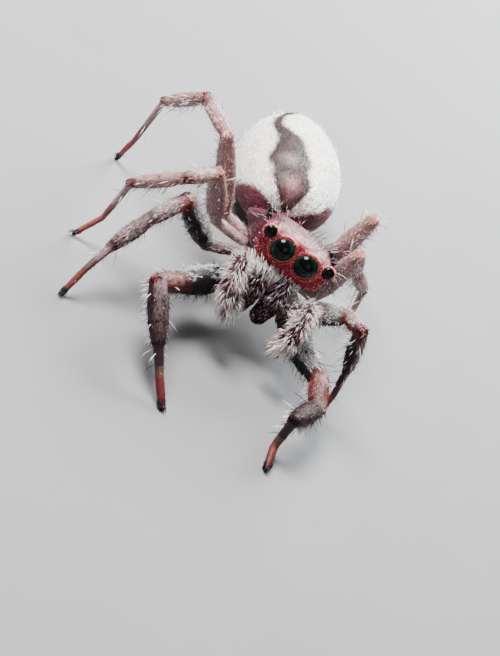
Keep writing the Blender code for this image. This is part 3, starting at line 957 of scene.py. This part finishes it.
def head_coats(skin, rng):
    """Short fur on the head and face, rings of hair round the front eyes, beard, bristles."""
    def on_head(places):
        local = moved(HEAD_BACK, places)
        keep = off_lenses(local) & (local[:, 2] > -0.45) & (local[:, 1] > FACE_FRONT - 0.03)
        bald = step(local[:, 1], -0.4, 0.2) * step(local[:, 2], 0.0, 0.3)
        return keep & (rng.random(len(places)) > 0.55 * bald)

    def on_face(places):
        local = moved(HEAD_BACK, places)
        return off_lenses(local) & (local[:, 1] <= FACE_FRONT)

    head, face = Coat("coat_head"), Coat("coat_face")
    head.grow(rng, skin, "carapace", HEAD_LAYERS, head_lie, HEAD_CHART, on_head)
    face.grow(rng, skin, "carapace", FACE_LAYERS, head_lie, HEAD_CHART, on_face)
    head.build("carapace")
    for kind, per_mm, length in RING_HAIR:
        x, y, z, radius = EYES[kind]
        for side in SIDES.values():
            count = int(2 * math.pi * radius * per_mm)
            turn = rng.uniform(0, 2 * math.pi, count)
            out = np.column_stack([np.cos(turn), np.zeros(count), np.sin(turn)])
            spread = radius * rng.uniform(1.0, 1.2, count)
            places = moved(HEAD, out * spread[:, None] + (side * x, y - radius * 0.25, z))
            normals = unit((np.array((0, -1, 0)) + out * 0.35) @ HEAD[:3, :3].T)
            lie = unit((-out * 0.5 + np.array((0, -0.6, 0))) @ HEAD[:3, :3].T)
            low = step(-out[:, 2], 0.1, 0.7)
            colours = pick((0.35 - 0.2 * low, 0.5 - 0.1 * low, 0.08 + 0.4 * low, 0.07),
                           (SALMON * 1.2, PEACH, CRIMSON, ORANGE * 0.8), rng.random(count))
            face.add(rng, places, normals, lie, colours, HEAD_CHART, length, 0.015, 55,
                     droop=0.25, stray=0.2)
    face.build("carapace")
    beard_coat(rng)
    bristle_coat(skin, rng)


def beard_coat(rng):
    """Long pale hairs that hang from the face's lower edge, most on its right."""
    beard = Coat("coat_beard")
    count = BEARD_HAIRS
    local = np.column_stack([rng.triangular(-1.1, -0.5, 0.75, count), np.full(count, FACE_FRONT),
                             rng.triangular(-0.36, -0.3, 0.0, count)])
    inward = np.clip(-0.9 * local[:, :1] - 0.05, -0.7, 0.75)
    lie = unit(-HEAD[:3, 2] + HEAD[:3, 0] * inward)
    colours = pick((0.55, 0.3, 0.15), (WHITE, CREAM, SALMON), rng.random(count))
    right = step(-local[:, 0], -0.3, 0.3)
    length = 0.24 + 0.36 * right * rng.random(count)
    beard.add(rng, moved(HEAD, local), -HEAD[:3, 1], lie, colours, HEAD_CHART, length, 0.021, 46,
              droop=1.0, stray=0.14)
    beard.build("carapace")


def bristle_coat(skin, rng):
    """Single upright bristles on top of the head, half of them near the eyes."""
    bristles = Coat("bristles_head")
    count = HEAD_BRISTLES
    local = np.column_stack([rng.uniform(-1.15, 1.15, count), rng.uniform(-1.95, -0.2, count),
                             np.full(count, 0.8)])
    near = rng.random(count) < 0.5
    local[near, 0] = np.sign(local[near, 0]) * rng.uniform(0.75, 1.15, near.sum())
    above = Vector(HEAD[:3, 2])
    root, direction = [], []
    for place in moved(HEAD, local):
        hit, normal, *_ = skin.tree.ray_cast(Vector(place) + above * 0.6, -above)
        root.append(hit if hit is not None else Vector(place))
        direction.append(normal if hit is not None else above)
    root, direction = np.array(root), np.array(direction)
    pale = rng.random(count) < 0.12
    colours = np.where(pale[:, None], WHITE, BLACK * 1.5)
    lie = -HEAD[:3, 1] * 0.8 + HEAD[:3, 0] * local[:, :1] * 0.7
    length = 0.35 + 0.4 * rng.random(count)
    bristles.add(rng, root, unit(direction), lie, colours, HEAD_CHART, length, 0.012, 62,
                 droop=0.35, stray=0.3)
    bristles.build("carapace")


def abdomen_coats(skin, rng):
    """Flat hair with a few longer ones, thinner on the flanks."""
    for name, upper, share in (("coat_abdomen_top", True, 1), ("coat_abdomen_flank", False, 0.85)):
        coat = Coat(name)
        layers = [(density * share, *rest) for density, *rest in ABDOMEN_LAYERS]
        coat.grow(rng, skin, "abdomen", layers, REAR[:3, 1], ABDOMEN_CHART,
                  lambda places: (moved(REAR_BACK, places)[:, 2] > 0.25) == upper)
        coat.build("abdomen")


def leg_coats(skin, rng, part):
    """Flat hair, a fringe under the middle segments, and a dark pad on the foot."""
    number = int(part[3])
    chart = leg_chart(part)

    def scale(places):
        segment = along_legs(part, places)[0]
        return np.array(HAIR_LENGTHS)[segment], np.where(segment >= 4, 0.8, 1.0), 1

    def fringe(segment, share, dorsal):
        under = (segment == 3) | (segment == 2) | ((segment == 1) & (share > 0.3))
        return under & (dorsal < -0.35) & (rng.random(len(share)) < (0.5 if number == 1 else 0.2))

    def pad(segment, share, dorsal):
        return (segment == 5) & (share > 0.72) & (dorsal < 0.5)

    coat = Coat("coat_" + part)
    coat.grow(rng, skin, part, FRONT_LEG_LAYERS if number <= 2 else REAR_LEG_LAYERS,
              lambda places: along_legs(part, places)[4], chart, scale=scale, shade=(0.4, 1.2))
    for density, where, chances, palette, length, rise, droop in (
            (420, fringe, (0.4, 0.3, 0.15, 0.15), (WHITE, SILVER, GREY, BARK),
             0.3 if number == 1 else 0.24, 66, 0.3),
            (2600, pad, (0.6, 0.3, 0.1), (BLACK * 1.6, SLATE * 0.6, GREY * 0.7), 0.11, 34, 0.4)):
        places, normals = skin.roots(part, density, rng)
        segment, share, dorsal, _, axis = along_legs(part, places)
        here = where(segment, share, dorsal)
        colours = pick(chances, palette, rng.random(len(places)))
        coat.add(rng, places[here], normals[here], axis[here], colours[here], chart, length,
                 0.015, rise, droop=droop)
    coat.build("shin")


def path_axis(path, points):
    """The direction of the nearest stretch of a path."""
    starts, runs = path[:-1], np.diff(path, axis=0)
    lengths = np.linalg.norm(runs, axis=1)
    axes = runs / lengths[:, None]
    offset = points[:, None] - starts[None]
    place = np.clip((offset * axes[None]).sum(axis=2), 0, lengths[None])
    gap = np.linalg.norm(offset - place[:, :, None] * axes[None], axis=2)
    return axes[gap.argmin(axis=1)]


def palp_coats(skin, rng):
    """Dark underfur, and long pale hair that is shorter at the red joint."""
    coats = {side: Coat(f"coat_palp_{side}") for side in SIDES}
    for part in ("palp_base", "palp_tip"):
        for layer, (density, length, width, rise, stray) in enumerate(PALP_LAYERS):
            places, normals = skin.roots(part, density, rng)
            local = moved(HEAD_BACK, places)
            colours = palp_colours(places, rng.random(len(places)))[1]
            lengths = np.full(len(places), length)
            if layer == 0:
                colours = mix(colours, WINE * 0.5, 0.8)
            else:
                lengths[np.abs(local[:, 2] - PALP_JOINT) < 0.1] *= 0.5
            for name, side in SIDES.items():
                path = np.array(PALP_BASE if part == "palp_base" else PALP_TIP[name])
                mine = (local[:, 0] > 0) == (side > 0)
                axis = path_axis(path * (side, 1, 1), local[mine]) @ HEAD[:3, :3].T
                coats[name].add(rng, places[mine], normals[mine], axis, colours[mine],
                                PALP_CHART, lengths[mine], width, rise, droop=0.7, stray=stray)
    for coat in coats.values():
        coat.build("palp")


def small_coats(skin, rng):
    """Jaws, the underside and the spinnerets."""
    def scale(places):
        upper = step(moved(HEAD_BACK, places)[:, 2], *JAW_PALER)
        return 1 + 0.769 * upper, 1, 1 + 1.125 * upper

    coat = Coat("coat_jaws")
    coat.grow(rng, skin, "jaw", JAW_LAYERS, -HEAD[:3, 2], JAW_CHART, scale=scale)
    coat.build("jaw")
    coat = Coat("coat_under")
    for part, chart in UNDER_CHARTS.items():
        coat.grow(rng, skin, part, UNDER_LAYERS, HEAD[:3, 1], chart)
    coat.build("belly")


# ------------------------ eyes, claws and spines

# How far the eyes are turned outward and up. The middle pair look aside together instead.
GAZE = -14            # towards the spider's right
EYE_LOOK = {"median": (0, 17), "side": (22, 4), "small": (60, 25), "rear": (75, 22)}
PUPIL = linear("050606")
IRIS_DARK = linear("010403")
IRIS_GREEN = linear("0a3026")
# The iris's green is painted brightest towards this turn and opposite it: a painted reflection.
IRIS_SPARKLE = -35       # where round the eye the green is brightest
LENS_RIM = linear("c88a74")
CLAW = ((0, 0), (0.09, 0.03), (0.15, -0.02), (0.17, -0.09))   # along the foot, and up
CLAW_RADII = (0.022, 0.018, 0.012, 0.004)
CLAW_SPREAD = 0.03
FANG = ((0.4, -1.74, -1.5), (0.3, -1.7, -1.62), (0.1, -1.7, -1.6))
FANG_RADII = (0.07, 0.055, 0.02)
SPINES = (            # segment, share of its length, angle from dorsal, length
    (1, 0.35, 15, 0.45), (1, 0.6, -25, 0.45), (1, 0.85, 30, 0.4), (1, 0.85, -30, 0.4),
    (2, 0.5, 70, 0.4), (2, 0.5, -70, 0.4),
    (3, 0.2, 80, 0.5), (3, 0.25, -80, 0.5), (3, 0.3, 160, 0.5), (3, 0.3, 200, 0.5),
    (3, 0.6, 160, 0.5), (3, 0.6, 200, 0.5), (3, 0.7, 85, 0.45), (3, 0.9, 150, 0.4),
    (3, 0.9, 210, 0.4), (3, 0.55, -85, 0.45),
    (4, 0.15, 150, 0.42), (4, 0.15, 210, 0.42), (4, 0.6, 150, 0.38), (4, 0.6, 210, 0.38),
    (4, 0.3, 80, 0.35), (4, 0.3, -80, 0.35),
)


def ball(radius, rings=40, sides=56):
    """Points and triangles of a ball whose first pole is its front, towards -Y."""
    polar = np.linspace(0, math.pi, rings + 1)[1:-1, None]
    turn = np.linspace(0, 2 * math.pi, sides, endpoint=False)
    rows = np.stack(np.broadcast_arrays(np.sin(polar) * np.cos(turn), -np.cos(polar),
                                        np.sin(polar) * np.sin(turn)), axis=-1)
    points = np.vstack([(0, -1, 0), rows.reshape(-1, 3), (0, 1, 0)]) * radius
    faces = []
    last = len(points) - 1
    for k in range(sides):
        after = (k + 1) % sides
        faces.append((0, 1 + k, 1 + after))
        faces.append((last, last - sides + after, last - sides + k))
        for low in range(1, last - sides, sides):
            high = low + sides
            faces.append((low + k, high + k, high + after))
            faces.append((low + k, high + after, low + after))
    return points, np.array(faces)


def eye_colours(kind, points, radius, side):
    """Black, with a green iris and a pale rim on the middle pair. The iris is painted brighter in
    two opposite lobes, a painted reflection.
    """
    out = np.hypot(points[:, 0], points[:, 2]) / radius
    front = points[:, 1] < 0
    if kind != "median":
        return mix(PUPIL, BARK, 0.6 * step(out, 0.8, 0.98) * front)
    turn = np.arctan2(points[:, 2], points[:, 0] * side)
    # Painted reflection: the green is brighter in two lobes round the eye.
    painted_sparkle = 0.55 + 0.45 * np.cos(turn - math.radians(IRIS_SPARKLE)) ** 2
    fibre = 0.8 + 0.2 * np.sin(turn * 37 + 5 * np.sin(turn * 5))
    iris = mix(IRIS_DARK, IRIS_GREEN, painted_sparkle * fibre)
    colours = mix(PUPIL, iris, step(out, 0.5, 0.74) * (1 - step(out, 0.86, 0.91)))
    colours = mix(colours, LENS_RIM, 0.9 * step(out, 0.945, 0.97))
    return np.where(front[:, None], colours, WINE)


def build_eyes(material):
    """Eight glossy lenses, each in its socket."""
    for kind, (x, y, z, radius) in EYES.items():
        outward, upward = EYE_LOOK[kind]
        for name, side in SIDES.items():
            points, faces = ball(radius)
            colours = eye_colours(kind, points, radius, side)
            aside = GAZE if kind == "median" else outward * side
            look = turned("Z", aside) @ turned("X", -upward)
            place = Matrix.Translation((side * x, y, z)) @ look
            points = moved(HEAD @ np.array(place), points)
            obj = mesh_object(f"eye_{kind}_{name}_lens", points, faces, colours)
            dress(obj, material)
            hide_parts(f"eye_{kind}_{name}")


def horn(rings, capped=True):
    """Points and triangles of a tapering tube through rings."""
    sides = len(rings[0])
    points, faces = np.vstack(rings), []
    last = len(points) - sides
    for low in range(0, last, sides):
        for k in range(sides):
            after, high = (k + 1) % sides, low + sides
            faces.append((low + k, low + after, high + after))
            faces.append((low + k, high + after, high + k))
    for k in range(1, sides - 1) if capped else ():
        faces.append((0, k + 1, k))
        faces.append((last, last + k, last + k + 1))
    return points, np.array(faces)


def build_horns(name, shapes, colour, material):
    """One piece from many (points, faces)."""
    points, faces, base = [], [], 0
    for shape, triangles in shapes:
        points.append(shape)
        faces.append(triangles + base)
        base += len(shape)
    points = np.vstack(points)
    points[:, 2] = np.maximum(points[:, 2], FLOOR_GAP)
    obj = mesh_object(name, points, np.vstack(faces), np.tile(colour, (len(points), 1)))
    dress(obj, material)


def build_claws(material):
    """Two claws at each foot, and the fangs under the jaws."""
    shapes = []
    for joints in LEG_PARTS.values():
        axis = unit(joints[-1] - joints[-2])
        level = unit(axis * (1, 1, 0) + (1e-6, 0, 0))
        across = np.cross(level, (0, 0, 1))
        for turn in (-1, 1):
            start = joints[-1] + across * turn * CLAW_SPREAD + np.array((0, 0, 0.02))
            path = [level * along + (0, 0, up) for along, up in CLAW]
            shapes.append(horn(tube_rings(spline(path, 4) + start, CLAW_RADII, 6)))
    build_horns("claws", shapes, BLACK, material)
    shapes = []
    for side in SIDES.values():
        path = moved(HEAD, spline(np.array(FANG) * (side, 1, 1), 5))
        shapes.append(horn(tube_rings(path, FANG_RADII, 10), capped=False))
    build_horns("fangs", shapes, linear("2a0a0a"), material)


def build_spines(rng):
    """Long stiff spines of the legs."""
    coat = Coat("spines")
    for part, joints in LEG_PARTS.items():
        radii = [np.mean(row) * LEG_BUILD[int(part[3]) - 1] for row in LEG_RADII]
        for segment, share, angle, length in SPINES:
            start, end = joints[segment], joints[segment + 1]
            axis = unit(end - start)[None]
            dorsal = dorsal_of(axis)
            turn = math.radians(angle)
            out = dorsal * math.cos(turn) + np.cross(axis, dorsal) * math.sin(turn)
            root = start + (end - start) * share + out * radii[segment] * 0.85
            colour = WHITE * 0.9 if rng.random() < 0.6 else BARK
            coat.add(rng, root, out, axis, colour[None], leg_chart(part), length * 1.15, 0.018,
                     50, droop=0.25, flat=1.0, stray=0.08)
    coat.build("shin")


# ------------------------ camera, light and floor

CAMERA_TURN = -13.67  # the photo's direction round the spider
CAMERA_RISE = 29.84
CAMERA_ROLL = 38.66
DISTANCE = 50
LENS = 107.83536585   # its focal length, on a sensor this wide
SENSOR = 36
FACE_POINT = (0, -2.0, 0.35)
FACE_OFFSET = (-1.122, -1.761)   # from the face to the middle of the picture
LIGHTS = (            # name, direction, distance, size, watts and colour
    ("key", (-0.45, 0.1, 0.9), 60, 30, 0.17, (1.0, 0.98, 0.96)),
    ("back", (0.35, 0.85, 0.6), 60, 34, 0.17, (0.93, 0.97, 1.0)),
    ("fill", (0.3, -0.9, 0.55), 110, 70, 0.02, (1.0, 0.98, 0.97)),
)
FLOOR_SIZE = 400      # half of it
FLOOR_DROP = 0.01     # how far it lies under the feet


def place_camera():
    """The photo's view: aimed beside the face, and tipped with the insect."""
    turn, rise, roll = (math.radians(a) for a in (CAMERA_TURN, CAMERA_RISE, CAMERA_ROLL))
    back = np.array((math.sin(turn) * math.cos(rise), -math.cos(turn) * math.cos(rise),
                     math.sin(rise)))
    level = np.array((math.cos(turn), math.sin(turn), 0))
    right = level * math.cos(roll) + np.cross(back, level) * math.sin(roll)
    top = np.cross(back, right)
    face = moved(HEAD, FACE_POINT)
    eye = face + back * DISTANCE
    aim = face + right * FACE_OFFSET[0] + top * FACE_OFFSET[1]
    back = unit(eye - aim)
    right = unit(right - back * right.dot(back))
    matrix = np.eye(4)
    matrix[:3, :3] = np.column_stack([right, np.cross(back, right), back])
    matrix[:3, 3] = (eye + SHIFT) * MM
    data = bpy.data.cameras.new("camera")
    data.lens = LENS
    data.sensor_width = SENSOR
    data.clip_start, data.clip_end = 0.001, 5
    camera = bpy.data.objects.new("camera", data)
    camera.matrix_world = Matrix(matrix.tolist())
    bpy.context.scene.collection.objects.link(camera)
    bpy.context.scene.camera = camera


def build_stage():
    """Soft studio light and a pale floor."""
    world = bpy.data.worlds.new("studio")
    bpy.context.scene.world = world
    world.use_nodes = True
    sky = world.node_tree.nodes["Background"]
    sky.inputs["Color"].default_value = (0.86, 0.9, 0.95, 1)
    sky.inputs["Strength"].default_value = 0.2
    for name, direction, distance, size, power, colour in LIGHTS:
        data = bpy.data.lights.new(name, "AREA")
        data.shape = "DISK"
        data.size = size * MM
        data.energy = power
        data.color = colour
        light = bpy.data.objects.new(name, data)
        direction = Vector(direction).normalized()
        light.location = direction * distance * MM
        light.rotation_euler = direction.to_track_quat("Z", "Y").to_euler()
        bpy.context.scene.collection.objects.link(light)
    corners = np.array([(-1, -1, 0), (1, -1, 0), (1, 1, 0), (-1, 1, 0)]) * FLOOR_SIZE
    floor = mesh_object("floor", corners - SHIFT - (0, 0, FLOOR_DROP), [(0, 1, 2), (0, 2, 3)])
    material, tree, main = blank("floor_paper")
    shade = node(tree, "ShaderNodeMix", {"A": (0.17, 0.17, 0.173, 1), "B": (0.2, 0.2, 0.203, 1),
                                         "Factor": noise(tree, 0.3)}, data_type="RGBA")
    fill_in(tree, main, {"Base Color": shade["Result"], "Roughness": 0.9})
    floor.data.materials.append(material)


# ------------------------ the model

FLESH = [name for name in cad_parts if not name.startswith("eye_")]

body = build_body()
skin_object = remeshed(body)
skin = Skin(skin_object.data, body)
skin_colours = np.zeros_like(skin.points)
for index, part in enumerate(skin.names):
    mine = skin.parts == index
    skin_colours[mine] = colours_of(part, skin.points[mine], np.full(mine.sum(), 0.5))[0]
mesh = skin_object.data
paint_on(mesh, skin_colours)
mesh.vertices.foreach_set("co", ((skin.points + SHIFT) * MM).astype(np.float32).ravel())
mesh.polygons.foreach_set("use_smooth", np.ones(len(mesh.polygons), bool))
mesh.update()
dress(skin_object, HIDE)
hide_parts(*FLESH)

rng = np.random.default_rng(7)
head_coats(skin, rng)
abdomen_coats(skin, rng)
for part in LEG_PARTS:
    leg_coats(skin, rng, part)
palp_coats(skin, rng)
small_coats(skin, rng)
build_eyes(GLASS)
build_claws(HORN)
build_spines(rng)
place_camera()
build_stage()
